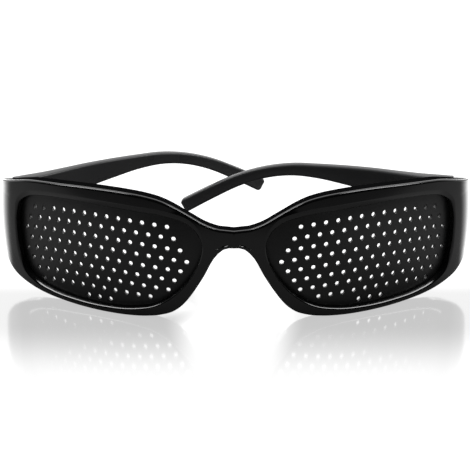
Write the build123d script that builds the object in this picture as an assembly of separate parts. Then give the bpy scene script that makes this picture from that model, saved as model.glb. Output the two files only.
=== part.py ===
# Pinhole glasses: one wraparound front holding two perforated panels, and two folding temples.
# Millimetres, degrees where a name says angle. +X is the wearer's left, -Y is forward, +Z is up.
# The origin is the middle of the bridge's underside at its back edge, where it sits on the nose.
from math import atan2, cos, degrees, hypot, pi, radians, sin
import os

from build123d import *

os.makedirs("parts", exist_ok=True)

# Front: the plan line of its outer face, from the middle of the bridge to the hinge seam.
bridge_depth = 5.0
bridge_half_run = 15.1
inner_arc_radius = 60.25
inner_arc_end_angle = 21.6
outer_arc_radius = 95.3
outer_arc_end_angle = 45.0
corner_radius = 18.0
seam_angle = 85.0

# Front: heights above and below the bridge's underside, and the wall.
brow_height = 16.5
rim_drop = 23.5
wall_depth = 4.8
barrel_radius = 110.0
barrel_height = -2.3
front_edge_radius = 1.2
back_edge_radius = 0.8

# Opening in each rim: how far it runs along the outer face, and its top and bottom.
opening_start_run = 9.6
opening_end_run = 74.8
opening_top = 11.4
opening_drop = 21.2
lip_depth = 2.4

# Perforated panel: rows of pinholes from the top, each a count and a shift in pitches.
panel_thickness = 1.0
panel_overlap = 0.9
panel_clearance = 0.1
hole_diameter = 1.4
hole_pitch = 3.9
hole_field_run = 44.2
hole_field_height = -2.5
hole_row_bend = 0.003
hole_rows = [(13, 0), (14, 0), (15, 0), (15, -0.5), (15, 0), (14, 0), (13, 0), (11, 0.5), (3, 0)]
longest_row = 3

# Nose rests, moulded behind the rims on both sides of the nose.
nose_rest_depth = 3.4
nose_rest_width = 2.4
nose_rest_inset = 0.3
nose_rest_corner_radius = 1.0
nose_rest_edge_radius = 0.6
nose_rest_root = 1.4

# Temple: its root is as tall and as thick as the front's end, and its arm slims towards the ear.
temple_reach = 88.4
temple_bow_radius = 440.0
temple_thickness = 3.2
temple_root_height = 17.0
temple_crest = 7.0
temple_crown = 0.2
temple_tip_radius = 1.5
temple_edge_radius = 0.7
seam_gap = 0.2

# How far each temple is folded from open in the rest pose.
left_rest_fold = 77.0
right_rest_fold = 62.0

# Hinge: a leaf let into the front, a leaf let into the temple, and a screw through both.
knuckle_radius = 1.5
knuckle_height = 1.9
knuckle_gap = 0.1
axis_inset = 1.8
leaf_thickness = 1.4
leaf_length = 6.0
leaf_start = 2.0
leaf_bite = 0.8
leaf_clearance = 0.1
leaf_centre_height = 0.1
screw_radius = 0.7
screw_clearance = 0.05
screw_head_radius = 1.15
screw_head_height = 0.6
screw_slot_width = 0.3
screw_slot_depth = 0.3

# How far a cutter reaches past what it cuts.
overrun = 6.0

# Ruled steps along half of the front, along a temple, and round its tip.
front_steps = 45
temple_steps = 30
tip_steps = 4

# Shares of the run to the seam, of the brow's height and of the rim's drop, at each station.
station_shares = [
    (0.000, 0.334, 0.000), (0.034, 0.346, 0.015), (0.068, 0.394, 0.145), (0.102, 0.472, 0.391),
    (0.136, 0.582, 0.604), (0.170, 0.691, 0.779), (0.204, 0.788, 0.885), (0.249, 0.885, 0.949),
    (0.306, 0.952, 0.983), (0.374, 0.988, 0.998), (0.454, 1.000, 1.000), (0.544, 0.989, 0.991),
    (0.635, 0.957, 0.970), (0.714, 0.921, 0.943), (0.782, 0.876, 0.900), (0.839, 0.808, 0.838),
    (0.884, 0.752, 0.762), (0.924, 0.700, 0.655), (0.964, 0.650, 0.525), (1.000, 0.600, 0.405)]

# Shares along the opening's run, with shares of its top (above) or of its drop (below).
opening_shares = [
    (0.000, 0.10), (0.006, -0.13), (0.037, -0.36), (0.087, -0.58), (0.152, -0.765), (0.236, -0.905),
    (0.344, -0.975), (0.497, -1.000), (0.666, -0.980), (0.804, -0.935), (0.900, -0.860),
    (0.962, -0.735), (0.990, -0.515), (1.000, -0.190), (0.998, 0.250), (0.982, 0.590),
    (0.930, 0.800), (0.840, 0.925), (0.710, 1.000), (0.528, 1.000), (0.328, 0.950),
    (0.160, 0.840), (0.067, 0.650), (0.021, 0.390)]

# Temple stations: shares of its reach, of its crest, of its root's height, and of the way from
# the front's thickness to its own.
temple_shares = [
    (0.00, 0.00, 1.000, 0.00), (0.06, 0.19, 0.835, 0.12), (0.12, 0.39, 0.660, 0.35),
    (0.20, 0.57, 0.530, 0.70), (0.30, 0.72, 0.445, 0.95), (0.40, 0.845, 0.355, 1.00),
    (0.50, 0.945, 0.265, 1.00), (0.60, 0.955, 0.225, 1.00), (0.70, 0.745, 0.215, 1.00),
    (0.80, 0.31, 0.225, 1.00), (0.90, -0.33, 0.245, 1.00), (1.00, -1.04, 0.265, 1.00)]


def plan_arcs():
    """The arcs after the straight half of the bridge: radius, start angle, end angle."""
    return [(inner_arc_radius, 0.0, inner_arc_end_angle),
            (outer_arc_radius, inner_arc_end_angle, outer_arc_end_angle),
            (corner_radius, outer_arc_end_angle, seam_angle)]


def seam_run():
    """Length of the outer face's plan line from the middle of the bridge to the seam."""
    return bridge_half_run + sum(r * radians(b - a) for r, a, b in plan_arcs())


def plan_at(run, depth=0.0):
    """Plan place at a run along the outer face and a depth behind it, with the heading there."""
    x, y, heading = min(run, bridge_half_run), -bridge_depth, 0.0
    left = run - bridge_half_run
    for radius, start, end in plan_arcs():
        if left <= 0:
            break
        length = radius * radians(end - start)
        heading = start + degrees(min(left, length) / radius)
        x += radius * (sin(radians(heading)) - sin(radians(start)))
        y += radius * (cos(radians(start)) - cos(radians(heading)))
        left -= length
    if left > 0:
        x += left * cos(radians(heading))
        y += left * sin(radians(heading))
    return x - depth * sin(radians(heading)), y + depth * cos(radians(heading)), heading


def barrel_sag(height):
    """How far the barrel-shaped wall falls back at a height."""
    return (height - barrel_height) ** 2 / (2 * barrel_radius)


def wall_point(run, height, depth):
    """Point of the wall at a run (negative on the wearer's right), a height and a depth."""
    x, y, _ = plan_at(abs(run), depth + barrel_sag(height))
    return Vector(x if run >= 0 else -x, y, height)


def eased(table, share, column):
    """A column's value at a share of the first column, on a smooth line through the table's rows."""
    lengths = [after[0] - before[0] for before, after in zip(table, table[1:])]
    rises = [(table[i + 1][column] - table[i][column]) / length for i, length in enumerate(lengths)]
    slopes = [(rises[i] * lengths[i + 1] + rises[i + 1] * lengths[i]) / (lengths[i] + lengths[i + 1])
              for i in range(len(rises) - 1)]
    slopes = [rises[0]] + slopes + [rises[-1]]
    row = max(i for i in range(len(lengths)) if table[i][0] <= share)
    t = (share - table[row][0]) / lengths[row]
    return ((2 * t ** 3 - 3 * t ** 2 + 1) * table[row][column]
            + (3 * t ** 2 - 2 * t ** 3) * table[row + 1][column]
            + (t ** 3 - 2 * t ** 2 + t) * lengths[row] * slopes[row]
            + (t ** 3 - t ** 2) * lengths[row] * slopes[row + 1])


def rounded_section(point, top, bottom, near, far, near_round, far_round):
    """Closed section with rounded corners, where point gives a place from a height and a depth."""
    bite = 1 - cos(radians(45))
    middle = (top + bottom) / 2
    near_face = Edge.make_three_point_arc(point(top - near_round, near), point(middle, near),
                                          point(bottom + near_round, near))
    near_low = Edge.make_three_point_arc(point(bottom + near_round, near),
                                         point(bottom + bite * near_round, near + bite * near_round),
                                         point(bottom, near + near_round))
    under = Edge.make_line(point(bottom, near + near_round), point(bottom, far - far_round))
    far_low = Edge.make_three_point_arc(point(bottom, far - far_round),
                                        point(bottom + bite * far_round, far - bite * far_round),
                                        point(bottom + far_round, far))
    far_face = Edge.make_three_point_arc(point(bottom + far_round, far), point(middle, far),
                                         point(top - far_round, far))
    far_high = Edge.make_three_point_arc(point(top - far_round, far),
                                         point(top - bite * far_round, far - bite * far_round),
                                         point(top, far - far_round))
    over = Edge.make_line(point(top, far - far_round), point(top, near + near_round))
    near_high = Edge.make_three_point_arc(point(top, near + near_round),
                                          point(top - bite * near_round, near + bite * near_round),
                                          point(top - near_round, near))
    return Wire([near_face, near_low, under, far_low, far_face, far_high, over, near_high])


def sheet_section(run, top, bottom, near, far):
    """Closed square-cornered section of the barrel-shaped sheet across a run."""
    middle = (top + bottom) / 2
    return Wire([Edge.make_three_point_arc(wall_point(run, top, near), wall_point(run, middle, near),
                                           wall_point(run, bottom, near)),
                 Edge.make_line(wall_point(run, bottom, near), wall_point(run, bottom, far)),
                 Edge.make_three_point_arc(wall_point(run, bottom, far), wall_point(run, middle, far),
                                           wall_point(run, top, far)),
                 Edge.make_line(wall_point(run, top, far), wall_point(run, top, near))])


def front_slab():
    """The whole wraparound wall between its brow line and its lower line, without openings."""
    table = [(-run, top, drop) for run, top, drop in reversed(station_shares[1:])] + station_shares
    sections = []
    for step in range(-front_steps, front_steps + 1):
        share = step / front_steps
        sections.append(rounded_section(lambda height, depth: wall_point(share * seam_run(), height, depth),
                                        eased(table, share, 1) * brow_height,
                                        -eased(table, share, 2) * rim_drop,
                                        0, wall_depth, front_edge_radius, back_edge_radius))
    return Solid.make_loft(sections, True)


def face_plane():
    """Upright plane square to the middle of the wearer's left panel, looked at from the front."""
    x, y, heading = plan_at(hole_field_run, 0)
    along = Vector(cos(radians(heading)), sin(radians(heading)), 0)
    outward = Vector(sin(radians(heading)), -cos(radians(heading)), 0)
    return Plane(origin=(x, y, 0), x_dir=along, z_dir=outward)


def opening_points(grow):
    """Opening outline in the face plane, moved outwards by a margin."""
    flat = []
    for along_share, height_share in opening_shares:
        run = opening_start_run + along_share * (opening_end_run - opening_start_run)
        height = height_share * (opening_top if height_share > 0 else opening_drop)
        x, y, _ = plan_at(run, lip_depth)
        local = face_plane().to_local_coords(Vector(x, y, height))
        flat.append((local.X, local.Y))
    moved = []
    for i, (u, v) in enumerate(flat):
        du = flat[(i + 1) % len(flat)][0] - flat[i - 1][0]
        dv = flat[(i + 1) % len(flat)][1] - flat[i - 1][1]
        size = hypot(du, dv)
        moved.append((u + grow * dv / size, v - grow * du / size))
    return moved


def opening_prism(grow):
    """Prism through the wearer's left rim with the opening's outline."""
    outline = Edge.make_spline([Vector(u, v) for u, v in opening_points(grow)], periodic=True)
    face = face_plane() * Face(Wire([outline]))
    reach = wall_depth + overrun
    return extrude(face, amount=reach, both=True)


def lens_shell(near, far, grow):
    """The barrel-shaped sheet between two depths, cut to the opening's outline plus a margin."""
    sections = []
    for step in range(front_steps + 1):
        run = seam_run() * step / front_steps
        sections.append(sheet_section(run, brow_height + overrun, -rim_drop - overrun, near, far))
    return Solid.make_loft(sections, True) & opening_prism(grow)


def hole_places():
    """Run along the outer face and height of every pinhole of one panel."""
    row_step = hole_pitch * sin(radians(60))
    run_stretch = outer_arc_radius / (outer_arc_radius - lip_depth)
    places = []
    for row, (count, shift) in enumerate(hole_rows):
        for i in range(count):
            along = (i - (count - 1) / 2 + shift) * hole_pitch
            height = (longest_row - row) * row_step - hole_row_bend * along ** 2
            places.append((hole_field_run + along * run_stretch, hole_field_height + height))
    return places


def drill(run, height):
    """Cutter for one pinhole, square to the panel."""
    x, y, heading = plan_at(run, lip_depth + barrel_sag(height))
    outward = Vector(sin(radians(heading)), -cos(radians(heading)), 0)
    plane = Plane(origin=(x, y, height), x_dir=(0, 0, 1), z_dir=outward)
    return plane * Cylinder(hole_diameter / 2, 4 * panel_thickness)


def lens_panel():
    """The wearer's left panel with its pinholes."""
    blank = lens_shell(lip_depth, lip_depth + panel_thickness, panel_overlap)
    return blank - [drill(run, height) for run, height in hole_places()]


def nose_rest():
    """Moulded rest behind the wearer's left rim, along the nose."""
    flank = station_shares[2:6]
    near = []
    for run_share, _, drop_share in flank:
        near.append((run_share * seam_run() + nose_rest_inset, -drop_share * rim_drop))
    far = [(x + nose_rest_width, z + nose_rest_inset) for x, z in reversed(near)]
    with BuildSketch(Plane.XZ) as outline:
        with BuildLine():
            rim_side = Spline(*near)
            eye_side = Spline(*far)
            Line(rim_side @ 1, eye_side @ 0)
            Line(eye_side @ 1, rim_side @ 0)
        make_face()
        fillet(outline.vertices(), nose_rest_corner_radius)
    rest = extrude(outline.sketch, amount=-nose_rest_depth)
    rest = fillet(rest.faces().sort_by(Axis.Y)[-1].edges(), nose_rest_edge_radius)
    return rest + extrude(outline.sketch, amount=nose_rest_root)


def both_sides(left_solid):
    """A solid of the wearer's left side together with its mirror image."""
    return [left_solid, mirror(left_solid, about=Plane.YZ)]


def hinge_axis():
    """Plan place of the wearer's left hinge axis."""
    x, y, _ = plan_at(seam_run(), wall_depth + axis_inset)
    return x, y


def root_plane():
    """Plane at the left hinge: X runs back along the open temple, Y towards the nose."""
    x, y = hinge_axis()
    along = Vector(cos(radians(seam_angle)), sin(radians(seam_angle)), 0)
    return Plane(origin=(x, y, leaf_centre_height), x_dir=along, z_dir=(0, 0, 1))


def block(start, end, inner, outer, low, high):
    """Box by the hinge: along the temple, outwards from the axis, and up."""
    size = Box(end - start, outer - inner, high - low)
    return Pos((start + end) / 2, -(inner + outer) / 2, (low + high) / 2) * size


def hinge_half_height():
    """Half the height of the three knuckles with their gaps."""
    return 1.5 * knuckle_height + knuckle_gap


def knuckle(low, high, towards):
    """One knuckle with the web that joins it to its leaf, before or behind the axis."""
    barrel = Pos(0, 0, (low + high) / 2) * Cylinder(knuckle_radius, high - low)
    reach = sorted((0, towards * (leaf_start + leaf_clearance)))
    return barrel + block(reach[0], reach[1], 0, knuckle_radius, low, high)


def leaf_plate(towards, margin):
    """Flat leaf before or behind the axis, or its recess when a margin is given."""
    ends = sorted((towards * (leaf_start - margin), towards * (leaf_start + leaf_length + margin)))
    outer = axis_inset + leaf_bite
    inner = outer - leaf_thickness if margin == 0 else -overrun
    half = hinge_half_height() + margin
    return block(ends[0], ends[1], inner, outer + margin, -half, half)


def screw_bore():
    """Bore for the hinge screw."""
    return Cylinder(screw_radius + screw_clearance, 4 * hinge_half_height())


def front_leaf():
    """Hinge leaf of the front, with the upper and lower knuckles."""
    half = hinge_half_height()
    leaf = leaf_plate(-1, 0) + knuckle(half - knuckle_height, half, -1)
    leaf += knuckle(-half, knuckle_height - half, -1)
    return root_plane() * (leaf - screw_bore())


def temple_leaf():
    """Hinge leaf of the temple, with the middle knuckle."""
    leaf = leaf_plate(1, 0) + knuckle(-knuckle_height / 2, knuckle_height / 2, 1)
    return root_plane() * (leaf - screw_bore())


def hinge_screw():
    """Slotted screw that is the hinge's pin."""
    half = hinge_half_height()
    top = half + screw_head_height
    screw = Cylinder(screw_radius, 2 * half)
    screw += Pos(0, 0, half + screw_head_height / 2) * Cylinder(screw_head_radius, screw_head_height)
    slot = Box(4 * screw_head_radius, screw_slot_width, 2 * screw_slot_depth)
    return root_plane() * (screw - Pos(0, 0, top) * slot)


def arm_section(share, ahead, shrink):
    """Rounded section of the temple at a share of its reach, or ahead of it and smaller in its tip."""
    turn = share * temple_reach / temple_bow_radius
    back = max(share - 1 / temple_steps, 0)
    rise = (eased(temple_shares, share, 1) - eased(temple_shares, back, 1)) * temple_crest
    droop = min(0.0, atan2(rise, (share - back) * temple_reach)) if share > 0 else 0.0
    thickness = wall_depth + eased(temple_shares, share, 3) * (temple_thickness - wall_depth)
    height = eased(temple_shares, share, 2) * temple_root_height
    inward = Vector(-sin(turn), cos(turn), 0)
    along = Vector(cos(droop) * cos(turn), cos(droop) * sin(turn), sin(droop))
    up = Vector(-sin(droop) * cos(turn), -sin(droop) * sin(turn), cos(droop))
    centre = Vector(seam_gap + temple_bow_radius * sin(turn),
                    temple_bow_radius * (1 - cos(turn)) - axis_inset - wall_depth,
                    eased(temple_shares, share, 1) * temple_crest) + along * ahead
    half = height / 2 - shrink
    slim = shrink * thickness / height

    def place(level, depth):
        crown = temple_crown * (level / half) ** 2
        return centre + up * level + inward * (depth + crown)

    corner = temple_edge_radius * half * 2 / height
    return rounded_section(place, half, -half, slim, thickness - slim, corner, corner)


def temple_arm():
    """The wearer's left temple as it stands when open, with the recess for its leaf."""
    arm = [arm_section(step / temple_steps, 0, 0) for step in range(temple_steps + 1)]
    for step in range(1, tip_steps):
        angle = pi / 2 * step / tip_steps
        arm.append(arm_section(1, temple_tip_radius * sin(angle), temple_tip_radius * (1 - cos(angle))))
    return root_plane() * (Solid.make_loft(arm, True) - leaf_plate(1, leaf_clearance))


def folded(solid, angle):
    """A left-hand solid turned about its hinge axis from open towards the nose."""
    x, y = hinge_axis()
    return solid.rotate(Axis((x, y, 0), (0, 0, 1)), angle)


def front_frame():
    """The one-piece front: wall, openings, panel grooves, nose rests and leaf recesses."""
    front = front_slab()
    groove = lens_shell(lip_depth - panel_clearance, lip_depth + panel_thickness + panel_clearance,
                        panel_overlap + panel_clearance)
    front -= both_sides(opening_prism(0))
    front += both_sides(nose_rest())
    front -= both_sides(groove)
    return front - both_sides(root_plane() * leaf_plate(-1, leaf_clearance))


def write(name, solid):
    """Writes one piece and prints its volume."""
    print(name, "volume", round(solid.volume, 2), "valid", solid.is_valid)
    export_step(solid, f"parts/{name}.step")


write("front_frame", front_frame())
pieces = {"lens": (lens_panel(), 0, 0), "front_hinge_leaf": (front_leaf(), 0, 0),
          "hinge_screw": (hinge_screw(), 0, 0),
          "temple": (temple_arm(), left_rest_fold, right_rest_fold),
          "temple_hinge_leaf": (temple_leaf(), left_rest_fold, right_rest_fold)}
for name, (solid, left_fold, right_fold) in pieces.items():
    write("left_" + name, folded(solid, left_fold))
    write("right_" + name, mirror(folded(solid, right_fold), about=Plane.YZ))

x, y = hinge_axis()
print("hinge axes at x", round(x, 4), "and", round(-x, 4), "y", round(y, 4))
print("seam run", round(seam_run(), 3))
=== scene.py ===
import math

import bmesh
import bpy
from mathutils import Matrix, Vector


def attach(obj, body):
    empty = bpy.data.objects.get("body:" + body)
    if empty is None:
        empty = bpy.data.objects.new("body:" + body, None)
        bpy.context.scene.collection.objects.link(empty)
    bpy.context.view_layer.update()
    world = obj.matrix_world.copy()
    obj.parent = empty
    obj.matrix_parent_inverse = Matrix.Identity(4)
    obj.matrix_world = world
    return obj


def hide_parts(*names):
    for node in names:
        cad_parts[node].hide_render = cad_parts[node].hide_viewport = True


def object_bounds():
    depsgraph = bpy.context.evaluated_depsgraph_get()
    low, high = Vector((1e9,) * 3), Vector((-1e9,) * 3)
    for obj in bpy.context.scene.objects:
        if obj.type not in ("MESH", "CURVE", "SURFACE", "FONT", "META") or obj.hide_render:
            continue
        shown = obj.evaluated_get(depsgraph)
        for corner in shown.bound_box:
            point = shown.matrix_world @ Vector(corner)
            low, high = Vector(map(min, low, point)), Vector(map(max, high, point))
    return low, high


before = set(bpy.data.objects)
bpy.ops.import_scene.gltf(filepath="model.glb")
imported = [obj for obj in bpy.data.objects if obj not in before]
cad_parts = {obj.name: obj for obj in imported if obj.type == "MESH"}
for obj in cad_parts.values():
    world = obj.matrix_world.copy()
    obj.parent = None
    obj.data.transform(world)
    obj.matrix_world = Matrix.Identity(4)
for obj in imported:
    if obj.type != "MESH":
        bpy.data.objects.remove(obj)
cadLow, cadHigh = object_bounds()
print("frame loaded, nodes:", len(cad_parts))

mm = 0.001  # the sizes below are in millimetres, but the stage's in metres, and angles in degrees
mergeGap = 0.002 * mm
arcMiddle = 0.3  # a small round's middle stands this share of its radius in from both faces
sides = (("left", 1), ("right", -1))  # the wearer's, with the sign of X on each

wall = {
    "bridgeDepth": 5.0,
    "bridgeHalfRun": 15.1,
    "arcs": [(60.25, 0.0, 21.6), (95.3, 21.6, 45.0), (18.0, 45.0, 85.0)],  # radius, headings
    "thickness": 4.8,
    "barrelRadius": 110.0,
    "barrelHeight": -2.3,
    "browHeight": 16.5,
    "rimDrop": 23.5,
}

# shares of the run to the hinge seam, of the brow's height and of the rim's drop
outlineShares = [
    (-0.034, 0.346, 0.015), (0.000, 0.334, 0.000), (0.034, 0.346, 0.015), (0.068, 0.394, 0.145),
    (0.102, 0.472, 0.391), (0.136, 0.582, 0.604), (0.170, 0.691, 0.779), (0.204, 0.788, 0.885),
    (0.249, 0.885, 0.949), (0.306, 0.952, 0.983), (0.374, 0.988, 0.998), (0.454, 1.000, 1.000),
    (0.544, 0.989, 0.991), (0.635, 0.957, 0.970), (0.714, 0.921, 0.943), (0.782, 0.876, 0.900),
    (0.839, 0.808, 0.838), (0.884, 0.752, 0.762), (0.924, 0.700, 0.655), (0.964, 0.650, 0.525),
    (1.000, 0.600, 0.405),
]


def eased(table, share, column):  # a smooth curve through one column of a table
    lengths = [after[0] - before[0] for before, after in zip(table, table[1:])]
    rises = [(table[i + 1][column] - table[i][column]) / length for i, length in enumerate(lengths)]
    slopes = [rises[0]]
    for i in range(len(rises) - 1):  # each slope leans towards the shorter stretch
        slopes.append((rises[i] * lengths[i + 1] + rises[i + 1] * lengths[i]) / (lengths[i] + lengths[i + 1]))
    slopes.append(rises[-1])
    row = max(i for i in range(len(lengths)) if table[i][0] <= share or i == 0)
    t = (share - table[row][0]) / lengths[row]
    return ((2 * t ** 3 - 3 * t ** 2 + 1) * table[row][column]
            + (3 * t ** 2 - 2 * t ** 3) * table[row + 1][column]
            + (t ** 3 - 2 * t ** 2 + t) * lengths[row] * slopes[row]
            + (t ** 3 - t ** 2) * lengths[row] * slopes[row + 1])


def planAt(run, depth):  # place on the plan line, and the heading there
    x, y, heading = min(run, wall["bridgeHalfRun"]), -wall["bridgeDepth"], 0.0
    left = run - wall["bridgeHalfRun"]
    for radius, start, end in wall["arcs"]:
        if left <= 0:
            break
        length = radius * math.radians(end - start)
        heading = start + math.degrees(min(left, length) / radius)
        x += radius * (math.sin(math.radians(heading)) - math.sin(math.radians(start)))
        y += radius * (math.cos(math.radians(start)) - math.cos(math.radians(heading)))
        left -= length
    turn = math.radians(heading)
    if left > 0:
        x += left * math.cos(turn)
        y += left * math.sin(turn)
    return x - depth * math.sin(turn), y + depth * math.cos(turn), heading


def wallPlace(run, height, depth):  # metres, for the wearer's left half
    sag = (height - wall["barrelHeight"]) ** 2 / (2 * wall["barrelRadius"])
    x, y = planAt(run, depth + sag)[:2]
    return Vector((x, y, height)) * mm


# where the front ends and the arms start, along the plan line
seamRun = wall["bridgeHalfRun"] + sum(r * math.radians(b - a) for r, a, b in wall["arcs"])


def finishedObject(name, bm, material, smooth=True):
    mesh = bpy.data.meshes.new(name)
    for face in bm.faces:
        face.smooth = smooth
    bm.to_mesh(mesh)
    bm.free()
    made = bpy.data.objects.new(name, mesh)
    bpy.context.scene.collection.objects.link(made)
    made.data.materials.append(material)
    return made


def grownEdges(bm, edges):  # extrudes a ring, and gives the new ring's vertices and edges
    grown = bmesh.ops.extrude_edge_only(bm, edges=edges)["geom"]
    verts = [g for g in grown if isinstance(g, bmesh.types.BMVert)]
    return verts, [g for g in grown if isinstance(g, bmesh.types.BMEdge) and g.verts[0] in verts
                   and g.verts[1] in verts]


def growRing(bm, edges, places):  # pushes a closed ring of edges on to its next places
    newVerts, newEdges = grownEdges(bm, edges)
    spoke = bm.verts.layers.int["spoke"]
    for vert in newVerts:
        source = [e.other_vert(vert) for e in vert.link_edges if e.other_vert(vert) not in newVerts][0]
        vert[spoke] = source[spoke]
        vert.co = places[vert[spoke]]
    return newEdges


def startRing(places):  # a new mesh holding one closed ring, its vertices numbered
    bm = bmesh.new()
    spoke = bm.verts.layers.int.new("spoke")
    bmesh.ops.create_circle(bm, segments=len(places), radius=mm)
    bm.verts.ensure_lookup_table()
    for i, vert in enumerate(bm.verts):
        vert[spoke] = i
        vert.co = places[i]
    return bm, list(bm.edges)


# Nodes that several materials use

def feed(tree, value, socket):  # sets a number, or links another node's output
    if isinstance(value, float):
        socket.default_value = value
    else:
        tree.links.new(value, socket)


def rangeNode(tree, value, span, ends, kind="LINEAR"):
    made = tree.nodes.new("ShaderNodeMapRange")
    made.interpolation_type = kind
    tree.links.new(value, made.inputs["Value"])
    for label, number in zip(("From Min", "From Max", "To Min", "To Max"), (*span, *ends)):
        feed(tree, number, made.inputs[label])
    return made.outputs["Result"]


def mathNode(tree, operation, first, second=0.0):
    made = tree.nodes.new("ShaderNodeMath")
    made.operation = operation
    feed(tree, first, made.inputs[0])
    feed(tree, second, made.inputs[1])
    return made.outputs["Value"]


def newMaterial(name):
    material = bpy.data.materials.new(name)
    material.use_nodes = True
    tree = material.node_tree
    return material, tree, tree.nodes["Principled BSDF"], tree.nodes.new("ShaderNodeTexCoord")


# Materials

grain = {
    "bumpDepth": 0.02,
    "fineDetail": 2.0,
    "waveDetail": 3.0,
    "waveSpan": (0.35, 0.65),  # noise values between which the roughness changes
}

grainInputs = {
    "Grain Scale": 4000.0,
    "Grain Height": 0.2,
    "Wave Scale": 90.0,
    "Roughness Low": 0.1,
    "Roughness High": 0.2,
}


def mouldedGrainGroup():
    group = bpy.data.node_groups.new("mouldedGrain", "ShaderNodeTree")
    group.interface.new_socket(name="Vector", in_out="INPUT", socket_type="NodeSocketVector")
    for label, value in grainInputs.items():
        socket = group.interface.new_socket(name=label, in_out="INPUT", socket_type="NodeSocketFloat")
        socket.default_value = value
    for label, kind in (("Roughness", "Float"), ("Normal", "Vector"), ("Mottle", "Float")):
        group.interface.new_socket(name=label, in_out="OUTPUT", socket_type="NodeSocket" + kind)
    nodes, link = group.nodes, group.links.new
    given, out = nodes.new("NodeGroupInput"), nodes.new("NodeGroupOutput")
    fine, wave = nodes.new("ShaderNodeTexNoise"), nodes.new("ShaderNodeTexNoise")
    for noise, scale, detail in ((fine, "Grain Scale", "fineDetail"), (wave, "Wave Scale", "waveDetail")):
        noise.inputs["Detail"].default_value = grain[detail]
        link(given.outputs["Vector"], noise.inputs["Vector"])
        link(given.outputs[scale], noise.inputs["Scale"])
    roughness = rangeNode(group, wave.outputs["Fac"], grain["waveSpan"],
                          (given.outputs["Roughness Low"], given.outputs["Roughness High"]))
    bump = nodes.new("ShaderNodeBump")
    bump.inputs["Distance"].default_value = grain["bumpDepth"] * mm
    link(given.outputs["Grain Height"], bump.inputs["Strength"])
    link(fine.outputs["Fac"], bump.inputs["Height"])
    link(roughness, out.inputs["Roughness"])
    link(bump.outputs["Normal"], out.inputs["Normal"])
    link(wave.outputs["Fac"], out.inputs["Mottle"])
    return group


mouldedGrain = mouldedGrainGroup()


def plasticMaterial(name, look):
    material, tree, shader, place = newMaterial(name)
    shader.inputs["Specular IOR Level"].default_value = look["specular"]
    moulded = tree.nodes.new("ShaderNodeGroup")
    moulded.node_tree = mouldedGrain
    tree.links.new(place.outputs["Object"], moulded.inputs["Vector"])
    for label in grainInputs:
        moulded.inputs[label].default_value = look[label]
    tone = tree.nodes.new("ShaderNodeMix")
    tone.data_type = "RGBA"
    tone.inputs["A"].default_value = (*look["dark"], 1.0)
    tone.inputs["B"].default_value = (*look["light"], 1.0)
    tree.links.new(moulded.outputs["Mottle"], tone.inputs["Factor"])
    tree.links.new(tone.outputs["Result"], shader.inputs["Base Color"])
    tree.links.new(moulded.outputs["Roughness"], shader.inputs["Roughness"])
    tree.links.new(moulded.outputs["Normal"], shader.inputs["Normal"])
    return material


glossBlack = plasticMaterial("glossBlack", {
    "dark": (0.0018, 0.0018, 0.0020),
    "light": (0.0032, 0.0032, 0.0034),
    "specular": 0.5,
    "Grain Scale": 900.0,
    "Grain Height": 0.05,
    "Wave Scale": 70.0,
    "Roughness Low": 0.07,
    "Roughness High": 0.13,
})

# a lighter copy of the front's black plastic for the arms: painted light lifting them
templePaintedLightBlack = plasticMaterial("templePaintedLightBlack", {
    "dark": (0.034, 0.034, 0.035),
    "light": (0.042, 0.042, 0.043),
    "specular": 0.2,
    "Grain Scale": 1200.0,
    "Grain Height": 0.02,
    "Wave Scale": 80.0,
    "Roughness Low": 0.26,
    "Roughness High": 0.34,
})

browPaintedShadeBlack = plasticMaterial("browPaintedShadeBlack", {  # the brow's own edge: the gloss black with no reflection, a painted shade darkening it
    "dark": (0.0020, 0.0020, 0.0022),
    "light": (0.0035, 0.0035, 0.0037),
    "specular": 0.0,
    "Grain Scale": 2500.0,
    "Grain Height": 0.3,
    "Wave Scale": 90.0,
    "Roughness Low": 0.30,
    "Roughness High": 0.42,
})

satinBlack = plasticMaterial("satinBlack", {
    "dark": (0.0065, 0.0065, 0.0068),
    "light": (0.0095, 0.0095, 0.0098),
    "specular": 0.5,
    "Grain Scale": 3500.0,
    "Grain Height": 0.35,
    "Wave Scale": 110.0,
    "Roughness Low": 0.34,
    "Roughness High": 0.42,
})

steel = {
    "color": (0.52, 0.52, 0.53),
    "roughness": (0.22, 0.38),
    "brushScale": 2500.0,
    "brushStretch": (1.0, 1.0, 0.08),  # the brush lines run upright
}


def steelMaterial():
    material, tree, shader, place = newMaterial("hingeSteel")
    shader.inputs["Metallic"].default_value = 1.0
    shader.inputs["Base Color"].default_value = (*steel["color"], 1.0)
    stretch = tree.nodes.new("ShaderNodeMapping")
    stretch.inputs["Scale"].default_value = steel["brushStretch"]
    noise = tree.nodes.new("ShaderNodeTexNoise")
    noise.inputs["Scale"].default_value = steel["brushScale"]
    tree.links.new(place.outputs["Object"], stretch.inputs["Vector"])
    tree.links.new(stretch.outputs["Vector"], noise.inputs["Vector"])
    roughness = rangeNode(tree, noise.outputs["Fac"], (0.0, 1.0), steel["roughness"])
    tree.links.new(roughness, shader.inputs["Roughness"])
    return material


hingeSteel = steelMaterial()
print("materials made")


# The opening in each rim: a closed line of runs and heights

opening = {
    "startRun": 9.6,
    "endRun": 74.8,
    "top": 11.4,
    "drop": 21.2,
    "panelDepth": 2.4,
    "panelThickness": 1.0,
    "spareRows": 2,  # repeated before the start and after the end
    "slopeStep": 0.05,
}

# shares of the opening's length, and of its top or its drop, round from the nose
openingShares = [
    (0.000, 0.10), (0.006, -0.13), (0.037, -0.36), (0.087, -0.58), (0.152, -0.765), (0.236, -0.905),
    (0.344, -0.975), (0.497, -1.000), (0.666, -0.980), (0.804, -0.935), (0.900, -0.860),
    (0.962, -0.735), (0.990, -0.515), (1.000, -0.190), (0.998, 0.250), (0.982, 0.590),
    (0.930, 0.800), (0.840, 0.925), (0.710, 1.000), (0.528, 1.000), (0.328, 0.950),
    (0.160, 0.840), (0.067, 0.650), (0.021, 0.390),
]


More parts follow.
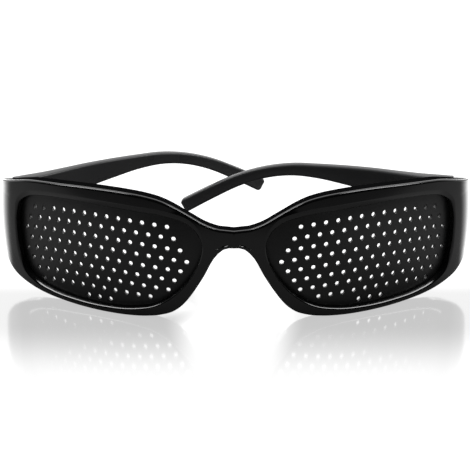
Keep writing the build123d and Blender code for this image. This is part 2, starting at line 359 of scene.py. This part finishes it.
def openingTable():  # length along the line, run and height, with rows to spare at both ends
    points = []
    for along, level in openingShares:
        run = opening["startRun"] + along * (opening["endRun"] - opening["startRun"])
        points.append((run, level * (opening["top"] if level > 0 else opening["drop"])))
    spare = opening["spareRows"]
    line = [points[i % len(points)] for i in range(-spare, len(points) + spare + 1)]
    rows, length = [], 0.0
    for before, here in zip(line[:1] + line, line):
        length += math.dist(here, before)
        rows.append((length, *here))
    return rows


openingRows = openingTable()


def openingAt(rowShare, grow=0.0):  # rowShare counts the rows of the shares
    low = math.floor(rowShare) + opening["spareRows"]
    stretch = openingRows[low + 1][0] - openingRows[low][0]
    length = openingRows[low][0] + (rowShare - math.floor(rowShare)) * stretch
    step = opening["slopeStep"]
    point, ahead, behind = (Vector((eased(openingRows, at, 1), eased(openingRows, at, 2)))
                            for at in (length, length + step, length - step))
    tangent = (ahead - behind).normalized()
    outward = Vector((tangent.y, -tangent.x))
    return point + outward * grow, outward


# The front: rings of edges laid round each opening, from the panel's gap over the face to the back

front = {
    "spokesPerRow": 8,
    "lipSteps": (1.0, 0.9, 0.5, 0.1, 0.0),  # from the recess up to the face
    "edgeSupport": 0.3,  # how far a supporting ring stands from a round
    "gapSupport": 0.05,  # and how near the panel's gap one may come
    "faceRings": 4,
    "backRings": 3,
    "roundSteps": 5,
    "backRound": 0.8,
    "backRoundSteps": 3,
    "gapDepth": 0.15,
    "gapReach": 0.2,
    "backLip": 0.25,
    "seamBevel": 0.25,
    "seamAngle": 60.0,  # sharper edges than this, past the next two, are the seam's
    "seamBeyond": 60.0,
    "seamBehind": 28.0,
    "endMarginShare": 0.1,  # no spoke ends nearer than this to the seam's corners
    "bridgeMarginShare": 0.3,
    "slopeStep": 0.002,
    "cornerReach": 1e-6,
}

# opening row, and where its spoke ends on the outline: 0 to 1 along the foot, 1 to 2 up the seam,
# 2 to 3 along the brow, and 3 to 4 down the bridge
spokeShares = [
    (0.5, 0.0), (1, 0.0666), (2, 0.1005), (3, 0.1411), (4, 0.1886), (5, 0.2676), (6, 0.3557),
    (7, 0.4742), (8, 0.6007), (9, 0.7090), (10, 0.8016), (11, 0.8863), (12, 1.0), (13, 1.375),
    (14, 1.707), (15, 2.0), (16, 2.108), (17, 2.2266), (18, 2.3508), (19, 2.4976), (20, 2.6556),
    (21, 2.7877), (22, 2.8623), (23, 2.9289), (23.5, 3.0), (24, 3.5), (24.5, 4.0),
]

# how far the outer edge is rounded in front, against the same places
edgeRounds = [
    (0.0, 1.0), (0.15, 1.0), (0.8, 1.0), (1.0, 0.8), (2.0, 0.6), (2.3, 0.5), (2.7, 0.5), (2.9, 0.5),
    (3.0, 0.5), (4.0, 0.8),
]

# the opening's front edge against its rows: how wide, how deep, and how full the lip is
lipRows = [
    (0.5, 0.55, 0.60, 0.9), (2.0, 0.45, 0.45, 1.0), (4.0, 0.60, 0.80, 1.0), (6.0, 0.80, 1.30, 1.0),
    (11.0, 0.80, 1.30, 1.0), (13.0, 0.50, 0.60, 1.0), (14.0, 0.50, 0.55, 0.9), (15.0, 1.00, 0.75, 0.5),
    (16.0, 1.60, 0.95, 0.2), (18.0, 1.60, 0.95, 0.15), (20.0, 1.80, 1.00, 0.15), (22.0, 1.60, 0.95, 0.25),
    (23.0, 1.10, 0.80, 0.5), (24.0, 0.65, 0.65, 0.8), (24.5, 0.55, 0.60, 0.9),
]


def curvedSide(share, column, height):  # a point on the brow or along the rims' foot, and the way in
    step = front["slopeStep"]
    ahead, behind = min(share + step, 1), share - step
    rise = eased(outlineShares, ahead, column) - eased(outlineShares, behind, column)
    slope = rise * height / (seamRun * (ahead - behind))
    point = Vector((share * seamRun, eased(outlineShares, share, column) * height))
    return point, Vector((slope, -1.0)).normalized() * math.copysign(1.0, height)


def straightSide(place):  # up the seam, or down the middle of the bridge
    if place < 2:
        run, row, share, margin = seamRun, outlineShares[-1], place - 1, front["endMarginShare"]
    else:
        run, row, share, margin = 0.0, outlineShares[1], 4 - place, front["bridgeMarginShare"]
    low, high = -row[2] * wall["rimDrop"], row[1] * wall["browHeight"]
    share = margin + (1 - 2 * margin) * share
    return Vector((run, low + share * (high - low))), Vector((-1.0 if run else 1.0, 0.0))


def outlineAt(place):  # point, the way in, how much of the rounding applies, and whether it is a corner
    corner = abs(place - round(place)) < front["cornerReach"]
    if corner:
        place = round(place) % 4
    if 1 < place < 2 or place > 3:
        return (*straightSide(place), 0.0, False)
    if place <= 1:
        point, inward = curvedSide(place, 2, -wall["rimDrop"])
    else:
        point, inward = curvedSide(3 - place, 1, wall["browHeight"])
    if corner:
        inward = Vector((0.0, math.copysign(1.0, inward.y)))
    return point, inward, 1.0, corner


def quarterRound(radius, steps):  # from one face to the next: how far in from each
    angles = [math.pi / 2 * i / steps for i in range(steps + 1)]
    return [(radius * (1 - math.sin(angle)), radius * (1 - math.cos(angle))) for angle in angles]


def lipCurve(wide, deep, full):  # how far out of the opening, and how deep
    bend = Vector((wide, deep)) * ((1 - full) / 2)
    spots = [Vector((wide, 0)) * (1 - t) ** 2 + bend * (2 * t * (1 - t)) + Vector((0, deep)) * t ** 2
             for t in front["lipSteps"]]
    return [(spot.x, spot.y) for spot in spots]


def bandPoints(start, end, rings, depth):
    return [(*start.lerp(end, i / (rings + 1)), depth) for i in range(rings + 2)]


def spokeProfile(rowShare):  # the closed section at one spoke, in metres
    counted = rowShare if rowShare >= spokeShares[0][0] else rowShare + len(openingShares)
    place = eased(spokeShares, counted, 1)
    inner, outward = openingAt(rowShare)
    outer, inward, rounded, corner = outlineAt(place)
    lipWide, lipDeep, lipFull = (eased(lipRows, counted, i) for i in (1, 2, 3))
    radius, backRadius = eased(edgeRounds, place, 1), front["backRound"]
    support, thickness, lip = front["edgeSupport"], wall["thickness"], front["backLip"]
    gapFront = opening["panelDepth"] - front["gapDepth"]
    gapBack = opening["panelDepth"] + opening["panelThickness"] + front["gapDepth"]
    gapReach = front["gapReach"]
    aside = Vector((0.0, 0.0))  # a corner's supporting rings stand in from both its sides
    if corner:
        aside.x = support if outer.x < support else -support

    def nearOpening(pairs):
        return [(*(inner + outward * offset), depth) for offset, depth in pairs]

    def nearEdge(pairs):
        return [(*(outer + inward * offset), depth) for offset, depth in pairs]

    def beforeRound(size):
        return outer + inward * (size * rounded + support) + aside

    points = nearOpening([(0, gapFront), (0, min(lipDeep + support / 2, gapFront - front["gapSupport"])),
                          *lipCurve(lipWide, lipDeep, lipFull)])
    points += bandPoints(inner + outward * (lipWide + support / 2), beforeRound(radius),
                         front["faceRings"], 0.0)
    points += nearEdge([(offset * rounded, depth)
                        for offset, depth in quarterRound(radius, front["roundSteps"])])
    points += nearEdge([(0, radius + support), (0, thickness - backRadius - support)])
    points += nearEdge([(offset * rounded, thickness - depth)
                        for depth, offset in quarterRound(backRadius, front["backRoundSteps"])])
    points += bandPoints(beforeRound(backRadius), inner + outward * (lip + support / 2),
                         front["backRings"], thickness)
    points += nearOpening([(lip, thickness), (lip * arcMiddle, thickness - lip * arcMiddle),
                           (0, thickness - lip), (0, gapBack), (gapReach, gapBack), (gapReach, gapFront)])
    return [wallPlace(*point) for point in points]


def frontHalf():
    count = len(openingShares) * front["spokesPerRow"]
    spokes = [spokeProfile(i / front["spokesPerRow"]) for i in range(count)]
    rings = [[spoke[i] for spoke in spokes] for i in range(len(spokes[0]))]
    bm, edges = startRing(rings[0])
    # the wall's own edge starts after the gap's 2 rings, the lip, the face and the round
    edgeRing = 2 + len(front["lipSteps"]) + (front["faceRings"] + 2) + (front["roundSteps"] + 1)
    for i, ring in enumerate(rings[1:] + rings[:1]):
        known = len(bm.faces)
        edges = growRing(bm, edges, ring)
        if i == edgeRing:
            for face in list(bm.faces)[known:]:
                face.material_index = int(face.calc_center_median().z > 0)  # unreflecting along the brow's top: a painted shade
    bmesh.ops.remove_doubles(bm, verts=bm.verts, dist=mergeGap)
    middle = [face for face in bm.faces if all(abs(vert.co.x) < mergeGap / 2 for vert in face.verts)]
    bmesh.ops.delete(bm, geom=middle, context="FACES")
    return bm


def onSeam(edge):
    return (len(edge.link_faces) == 2 and edge.calc_face_angle() > math.radians(front["seamAngle"])
            and all(abs(vert.co.x) > front["seamBeyond"] * mm for vert in edge.verts)
            and edge.verts[0].co.y > front["seamBehind"] * mm)


def frontShell():
    bm = frontHalf()
    whole = bm.verts[:] + bm.edges[:] + bm.faces[:]
    bmesh.ops.mirror(bm, geom=whole, matrix=Matrix.Identity(4), merge_dist=mergeGap, axis="X")
    bmesh.ops.remove_doubles(bm, verts=bm.verts, dist=mergeGap)
    bmesh.ops.recalc_face_normals(bm, faces=bm.faces)
    bmesh.ops.bevel(bm, geom=[edge for edge in bm.edges if onSeam(edge)], offset=front["seamBevel"] * mm,
                    segments=2, profile=0.5, affect="EDGES", material=-1)
    made = finishedObject("frontShell", bm, glossBlack)
    # the unreflecting black for the brow's top face, a painted shade
    made.data.materials.append(browPaintedShadeBlack)
    return made


frontPiece = frontShell()
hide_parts("front_frame")
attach(frontPiece, "front")
print("front made, faces:", len(frontPiece.data.polygons))


# Nose rests: a soft ridge behind each rim, along the nose

noseRest = {
    "startShare": 0.066,  # of the way to the seam
    "endShare": 0.172,
    "stations": 14,
    "width": 2.4,
    "inset": 0.3,  # from the front's outline
    "back": 3.4,  # from the origin backwards
    "root": 1.2,  # and forwards, inside the front
    "corner": 0.75,
    "loopSteps": (3, 1, 2),
    "endPower": 8,  # a higher one rounds the ends off later
    "endLeast": 0.02,
}


def roundedLoop(halfWide, halfTall, corner, cornerSteps, wideSteps, tallSteps):  # (across, up) pairs
    arcs = []
    for quarter, (signX, signY) in enumerate(((1, 1), (-1, 1), (-1, -1), (1, -1))):
        centre = Vector((signX * (halfWide - corner), signY * (halfTall - corner)))
        angles = [math.pi / 2 * (quarter + i / cornerSteps) for i in range(cornerSteps + 1)]
        arcs.append([centre + Vector((math.cos(angle), math.sin(angle))) * corner for angle in angles])
    loop = []
    for arc, following, steps in zip(arcs, arcs[1:] + arcs[:1], (wideSteps, tallSteps) * 2):
        loop += arc + [arc[-1].lerp(following[0], i / (steps + 1)) for i in range(1, steps + 1)]
    return loop


def noseRestPiece(name, side):
    halfDeep = (noseRest["back"] + noseRest["root"]) / 2
    middle = noseRest["back"] - halfDeep
    rings = []
    for station in range(noseRest["stations"] + 1):
        share = station / noseRest["stations"]
        runShare = noseRest["startShare"] + share * (noseRest["endShare"] - noseRest["startShare"])
        ends = math.sqrt(max(1 - (2 * share - 1) ** noseRest["endPower"], noseRest["endLeast"]))
        x = runShare * seamRun + noseRest["inset"] + noseRest["width"] / 2
        z = -eased(outlineShares, runShare, 2) * wall["rimDrop"] + noseRest["inset"] / 2
        loop = roundedLoop(noseRest["width"] / 2 * ends, halfDeep * ends, noseRest["corner"] * ends,
                           *noseRest["loopSteps"])
        rings.append([Vector((side * (x + p.x), middle + p.y, z)) * mm for p in loop])
    bm, edges = startRing(rings[0])
    for ring in rings[1:]:
        edges = growRing(bm, edges, ring)
    bmesh.ops.holes_fill(bm, edges=bm.edges, sides=0)
    bmesh.ops.recalc_face_normals(bm, faces=bm.faces)
    return finishedObject(name, bm, glossBlack)


for sideName, side in sides:
    piece = noseRestPiece(sideName + "NoseRest", side)
    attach(piece, "front")
print("nose rests made")


# Perforated panels: made flat in runs, depths and heights, bored, then bent to the barrel

panel = {
    "overlap": 0.9,  # how far its edge runs on inside the rim
    "edgeSteps": 4,
    "sliceRun": 1.6,  # the flat panel is cut in slices, so that it can bend
    "sliceHeight": 3.4,
    "sliceSnap": 1e-5,
    "smoothAngle": 32.0,
    "holeDiameter": 1.4,
    "holePitch": 3.9,
    "holeSides": 20,
    "holeFlare": 0.1,
    "fieldRun": 44.2,  # the middle of the pinholes
    "fieldHeight": -2.5,
    "rowBend": 0.003,  # how much the rows droop to both sides
    "rowAngle": 60.0,  # from one hole to the nearest in the next row
    # holes in a row, and how many pitches it is moved along
    "rows": [(13, 0), (14, 0), (15, 0), (15, -0.5), (15, 0), (14, 0), (13, 0), (11, 0.5), (3, 0)],
    "middleRow": 3,  # this row stands at fieldHeight
}


def holePlaces():
    radius = wall["arcs"][1][0]
    stretch = radius / (radius - opening["panelDepth"])
    rowStep = panel["holePitch"] * math.sin(math.radians(panel["rowAngle"]))
    for row, (count, shift) in enumerate(panel["rows"]):
        for i in range(count):
            along = (i - (count - 1) / 2 + shift) * panel["holePitch"]
            height = (panel["middleRow"] - row) * rowStep - panel["rowBend"] * along ** 2
            yield panel["fieldRun"] + along * stretch, panel["fieldHeight"] + height


def flatPanel():
    bm = bmesh.new()
    bmesh.ops.create_circle(bm, segments=len(openingShares) * panel["edgeSteps"], radius=mm, cap_ends=True)
    bm.verts.ensure_lookup_table()
    for i, vert in enumerate(bm.verts):
        point = openingAt(i / panel["edgeSteps"], panel["overlap"])[0]
        vert.co = Vector((point.x, opening["panelDepth"], point.y))
    for axis, start, end, step in ((0, opening["startRun"], opening["endRun"], panel["sliceRun"]),
                                   (2, -opening["drop"], opening["top"], panel["sliceHeight"])):
        for i in range(1, int((end - start) / step) + 1):
            spot, normal = Vector((0, 0, 0)), Vector((0, 0, 0))
            spot[axis] = start + i * step
            normal[axis] = 1.0
            bmesh.ops.bisect_plane(bm, geom=bm.verts[:] + bm.edges[:] + bm.faces[:], plane_co=spot,
                                   plane_no=normal, dist=panel["sliceSnap"])
    made = bmesh.ops.extrude_face_region(bm, geom=bm.faces[:])["geom"]
    backVerts = [g for g in made if isinstance(g, bmesh.types.BMVert)]
    bmesh.ops.translate(bm, verts=backVerts, vec=Vector((0, opening["panelThickness"], 0)))
    bmesh.ops.recalc_face_normals(bm, faces=bm.faces)
    return bm


def holeRing(run, height, depth, radius):
    return (Matrix.Translation((run, depth, height)) @ Matrix.Rotation(math.pi / 2, 4, "X")
            @ Matrix.Diagonal((radius, radius, 1, 1)))


def holeCutters():  # each is a bore with a flare at both ends
    bm = bmesh.new()
    radius, flare = panel["holeDiameter"] / 2, panel["holeFlare"]
    near, far = opening["panelDepth"], opening["panelDepth"] + opening["panelThickness"]
    stages = [(near - flare, radius + 2 * flare), (near + flare, radius), (far - flare, radius),
              (far + flare, radius + 2 * flare)]
    for run, height in holePlaces():
        before = holeRing(run, height, *stages[0])
        bmesh.ops.create_circle(bm, segments=panel["holeSides"], radius=1, matrix=before)
        edges = bm.edges[-panel["holeSides"]:]
        for depth, size in stages[1:]:
            verts, edges = grownEdges(bm, edges)
            after = holeRing(run, height, depth, size)
            bmesh.ops.transform(bm, matrix=after @ before.inverted(), verts=verts)
            before = after
    bmesh.ops.holes_fill(bm, edges=bm.edges, sides=0)
    bmesh.ops.recalc_face_normals(bm, faces=bm.faces)
    return bm


def boredPanel():
    body = finishedObject("panelBlank", flatPanel(), satinBlack)
    cutter = finishedObject("panelCutter", holeCutters(), satinBlack)
    bore = body.modifiers.new("bore", "BOOLEAN")
    bore.operation = "DIFFERENCE"
    bore.solver = "EXACT"
    bore.object = cutter
    bpy.context.view_layer.update()
    bored = bpy.data.meshes.new_from_object(body.evaluated_get(bpy.context.evaluated_depsgraph_get()))
    for made in (body, cutter):
        bpy.data.objects.remove(made)
    return bored


boredMesh = boredPanel()


def panelPiece(name, side):
    bm = bmesh.new()
    bm.from_mesh(boredMesh)
    for vert in bm.verts:
        place = wallPlace(vert.co.x, vert.co.z, vert.co.y)
        vert.co = Vector((side * place.x, place.y, place.z))
    if side < 0:
        bmesh.ops.reverse_faces(bm, faces=bm.faces)
    limit = math.radians(panel["smoothAngle"])
    for edge in bm.edges:
        edge.smooth = len(edge.link_faces) == 2 and edge.calc_face_angle() < limit
    return finishedObject(name, bm, satinBlack)


for sideName, side in sides:
    piece = panelPiece(sideName + "Panel", side)
    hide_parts(sideName + "_lens")
    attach(piece, "front")
print("panels made, faces each:", len(piece.data.polygons))


# Temples: rounded sections pushed along each arm, with a rounded tip

temple = {
    "reach": 88.4,
    "bowRadius": 440.0,
    "thickness": 3.2,
    "rootHeight": 17.0,
    "crest": 7.0,  # how high its middle line rises
    "crown": 0.2,  # how far a section bows out in its middle
    "tipRadius": 1.5,
    "tipSteps": 5,
    "tipShrink": 0.9,  # how much of a full round the tip is
    "edgeRadius": 0.7,
    "loopSteps": (4, 1, 5),
    "firstShare": 0.012,  # where the first full section stands, past the root's bevel
    "stations": 48,
    "droopShare": 1 / 30,  # how far back the arm's own slope is read
    "seamGap": 0.2,
    "rootBevel": 0.25,
    "axisInset": 1.8,
    "axisHeight": 0.1,
    "leftFold": 77.0,
    "rightFold": 62.0,
}

# shares of the reach, of the crest, of the root's height, and of the way to the arm's own thickness
templeShares = [
    (0.00, 0.00, 1.000, 0.00), (0.06, 0.19, 0.835, 0.12), (0.12, 0.39, 0.660, 0.35),
    (0.20, 0.57, 0.530, 0.70), (0.30, 0.72, 0.445, 0.95), (0.40, 0.845, 0.355, 1.00),
    (0.50, 0.945, 0.265, 1.00), (0.60, 0.955, 0.225, 1.00), (0.70, 0.745, 0.215, 1.00),
    (0.80, 0.31, 0.225, 1.00), (0.90, -0.33, 0.245, 1.00), (1.00, -1.04, 0.265, 1.00),
]


def armRing(share, ahead=0.0, shrink=0.0):  # one section, in the open arm's own axes
    turn = share * temple["reach"] / temple["bowRadius"]
    back = max(share - temple["droopShare"], 0)
    rise = (eased(templeShares, share, 1) - eased(templeShares, back, 1)) * temple["crest"]
    droop = min(0.0, math.atan2(rise, (share - back) * temple["reach"])) if share > 0 else 0.0
    slimming = eased(templeShares, share, 3)
    thickness = wall["thickness"] + slimming * (temple["thickness"] - wall["thickness"])
    height = eased(templeShares, share, 2) * temple["rootHeight"]
    inward = Vector((-math.sin(turn), math.cos(turn), 0))
    along = Vector((math.cos(droop) * math.cos(turn), math.cos(droop) * math.sin(turn), math.sin(droop)))
    up = Vector((-math.sin(droop) * math.cos(turn), -math.sin(droop) * math.sin(turn), math.cos(droop)))
    centre = Vector((temple["seamGap"] + temple["bowRadius"] * math.sin(turn),
                     temple["bowRadius"] * (1 - math.cos(turn)) - temple["axisInset"] - wall["thickness"],
                     eased(templeShares, share, 1) * temple["crest"])) + along * ahead
    half = height / 2 - shrink
    halfThick = thickness / 2 - shrink * thickness / height
    corner = temple["edgeRadius"] * 2 * half / height
    ring = []
    for p in roundedLoop(halfThick, half, corner, *temple["loopSteps"]):
        crown = temple["crown"] * (p.y / half) ** 2
        ring.append(centre + up * p.y + inward * (thickness / 2 + p.x + crown))
    return ring


def templePiece(name, side, fold):
    x, y, heading = planAt(seamRun, wall["thickness"] + temple["axisInset"])
    toFrame = (Matrix.Translation(Vector((x, y, temple["axisHeight"])) * mm)
               @ Matrix.Rotation(math.radians(heading + fold), 4, "Z"))
    bevel, first, stations = temple["rootBevel"], temple["firstShare"], temple["stations"]
    rings = [armRing(0.0, ahead * bevel, shrink * bevel)
             for ahead, shrink in ((0.0, 1.0), (arcMiddle, arcMiddle), (1.0, 0.0))]
    rings += [armRing(first + (1 - first) * i / stations) for i in range(stations + 1)]
    for rounded, ahead in quarterRound(temple["tipRadius"], temple["tipSteps"])[1:]:
        rings.append(armRing(1.0, temple["tipRadius"] - rounded, ahead * temple["tipShrink"]))
    placed = []
    for ring in rings:
        spots = [toFrame @ (p * mm) for p in ring]
        placed.append([Vector((side * p.x, p.y, p.z)) for p in spots])
    bm, edges = startRing(placed[0])
    for ring in placed[1:]:
        edges = growRing(bm, edges, ring)
    bmesh.ops.holes_fill(bm, edges=bm.edges, sides=0)
    bmesh.ops.recalc_face_normals(bm, faces=bm.faces)
    # the arms take the lighter copy of the black plastic, painted light
    return finishedObject(name, bm, templePaintedLightBlack)


for sideName, side in sides:
    piece = templePiece(sideName + "Arm", side, temple[sideName + "Fold"])
    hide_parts(sideName + "_temple")
    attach(piece, sideName + "_arm")
print("temples made, faces each:", len(piece.data.polygons))

for name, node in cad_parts.items():
    if "hinge" in name:
        node.data.materials.clear()
        node.data.materials.append(hingeSteel)
print("hinges dressed")


# Floor, lights and camera

stage = {  # in metres
    "floorHalf": 1.2,
    "floorRoughness": 0.10,
    "floorIor": 2.6,
    # what the camera sees of the floor: its glow dims near the glasses, a painted shadow and reflection of
    # them
    "floorSeen": 0.02,
    "floorSpecular": 0.5,
    "floorGlowAndPaintedShadow": (0.98, 0.56),
    "paintedShadowFront": (-0.046, -0.006),
    "paintedShadowBack": (0.016, 0.034),
    "paintedShadowNose": (0.010, 0.022),
    "paintedShadowEnds": (0.076, 0.092),
    # what the glasses see of it: dark in front, a painted shade, with a glow beside both ends
    "floorPaintedShadeTones": (0.01, 0.17),
    "floorPaintedShadeFade": (-0.25, -0.10),
    "sideStart": (0.064, 0.078),
    "sideCorner": (0.066, 0.026),
    "sideTurn": (0.15, 0.85),
    "sideGlow": (0.15, 4.0),
    "sideLeast": 0.003,
    # the room is dark in front and a white sweep behind, and white to the camera
    "worldFront": (0.0, 0.25),
    "worldGlow": (0.01, 1.25),
    "worldSeen": 1.0,
    "lampSize": (0.15, 0.34),
    "lampPlace": (0.30, 0.0, 0.40),
    "lampTarget": (0.0, 0.01, 0.0),
    "lampPower": 1.9,
}


def seenOrNot(tree, unseen, seen):  # one value for the camera, and another for all else
    path = tree.nodes.new("ShaderNodeLightPath")
    return rangeNode(tree, path.outputs["Is Camera Ray"], (0.0, 1.0), (unseen, seen))


def fade(tree, value, span, ends):
    return rangeNode(tree, value, span, ends, "SMOOTHSTEP")


def sideGlow(tree, back, aside):  # fans out round a corner beside each end of the glasses
    cornerAside, cornerBack = stage["sideCorner"]
    out = mathNode(tree, "MAXIMUM", mathNode(tree, "SUBTRACT", aside, cornerAside), stage["sideLeast"])
    turn = mathNode(tree, "DIVIDE", mathNode(tree, "SUBTRACT", back, cornerBack), out)
    return mathNode(tree, "MULTIPLY", fade(tree, aside, stage["sideStart"], (0.0, 1.0)),
                    fade(tree, turn, stage["sideTurn"], stage["sideGlow"]))


def floorGlowAndPaintedShadow(tree, back, aside):  # dim only between the four fades: a painted shadow and reflection under the glasses
    bright, dim = stage["floorGlowAndPaintedShadow"]
    glow = fade(tree, back, stage["paintedShadowFront"], (bright, dim))
    for value, span, ends in ((back, "paintedShadowBack", (dim, bright)), (aside, "paintedShadowNose", (bright, dim)),
                              (aside, "paintedShadowEnds", (dim, bright))):
        glow = mathNode(tree, "MAXIMUM", glow, fade(tree, value, stage[span], ends))
    return glow


def floorPiece():
    bm = bmesh.new()
    bmesh.ops.create_grid(bm, x_segments=2, y_segments=2, size=stage["floorHalf"],
                          matrix=Matrix.Translation((0, 0, cadLow.z)))
    material, tree, shader, place = newMaterial("paleFloor")
    apart = tree.nodes.new("ShaderNodeSeparateXYZ")
    tree.links.new(place.outputs["Object"], apart.inputs["Vector"])
    back, aside = apart.outputs["Y"], mathNode(tree, "ABSOLUTE", apart.outputs["X"])
    # the floor darkens in front as the glasses see it: painted shade
    tone = fade(tree, back, stage["floorPaintedShadeFade"], stage["floorPaintedShadeTones"])
    for label, value in (
        ("Roughness", stage["floorRoughness"]),
        ("IOR", stage["floorIor"]),
        ("Base Color", seenOrNot(tree, tone, stage["floorSeen"])),
        ("Emission Strength", seenOrNot(tree, sideGlow(tree, back, aside), floorGlowAndPaintedShadow(tree, back, aside))),
        ("Specular IOR Level", seenOrNot(tree, 0.0, stage["floorSpecular"])),
    ):
        feed(tree, value, shader.inputs[label])
    shader.inputs["Emission Color"].default_value = (1.0, 1.0, 1.0, 1.0)
    finishedObject("floor", bm, material, smooth=False)


def worldLight():
    world = bpy.data.worlds.new("studio")
    bpy.context.scene.world = world
    world.use_nodes = True
    tree = world.node_tree
    background = tree.nodes["Background"]
    background.inputs["Color"].default_value = (1.0, 1.0, 1.0, 1.0)
    place = tree.nodes.new("ShaderNodeTexCoord")
    apart = tree.nodes.new("ShaderNodeSeparateXYZ")
    tree.links.new(place.outputs["Generated"], apart.inputs["Vector"])
    sweep = fade(tree, apart.outputs["Y"], stage["worldFront"], stage["worldGlow"])
    tree.links.new(seenOrNot(tree, sweep, stage["worldSeen"]), background.inputs["Strength"])


def standing(name, data, place, turn):  # a lamp or camera, in the scene
    holder = bpy.data.objects.new(name, data)
    bpy.context.scene.collection.objects.link(holder)
    holder.location = place
    holder.rotation_mode = "QUATERNION"
    holder.rotation_quaternion = turn
    return holder


def areaLamp(name, side):
    lamp = bpy.data.lights.new(name, "AREA")
    lamp.shape = "RECTANGLE"
    lamp.size, lamp.size_y = stage["lampSize"]
    lamp.energy = stage["lampPower"]
    x, y, z = stage["lampPlace"]
    place = Vector((side * x, y, z))
    standing(name, lamp, place, (Vector(stage["lampTarget"]) - place).to_track_quat("-Z", "Y"))


camera = {
    "target": (0.034, 18.7, -4.36),
    "distance": 500.0,
    "azimuth": 0.727,
    "elevation": 20.78,
    "roll": -0.309,
    "focalPixels": 1605.9,
    "imagePixels": 470.0,
    "sensor": 36.0,
    "clip": (50.0, 20000.0),
}


def photoCamera():
    azimuth, elevation = math.radians(camera["azimuth"]), math.radians(camera["elevation"])
    back = Vector((math.sin(azimuth) * math.cos(elevation), -math.cos(azimuth) * math.cos(elevation),
                   math.sin(elevation)))
    data = bpy.data.cameras.new("photoCamera")
    data.sensor_width = camera["sensor"]
    data.lens = camera["focalPixels"] / camera["imagePixels"] * camera["sensor"]
    data.clip_start, data.clip_end = (reach * mm for reach in camera["clip"])
    right = (-back).cross(Vector((0, 0, 1))).normalized()
    up = right.cross(-back)
    roll = math.radians(camera["roll"])
    turnedRight = right * math.cos(roll) + up * math.sin(roll)
    turnedUp = up * math.cos(roll) - right * math.sin(roll)
    place = (Vector(camera["target"]) + back * camera["distance"]) * mm
    turn = Matrix((turnedRight, turnedUp, back)).transposed().to_quaternion()
    bpy.context.scene.camera = standing("photoCamera", data, place, turn)


floorPiece()
worldLight()
for sideName, side in sides:
    areaLamp(sideName + "Lamp", side)
photoCamera()
bpy.context.scene.view_settings.view_transform = "Standard"
print("stage made")
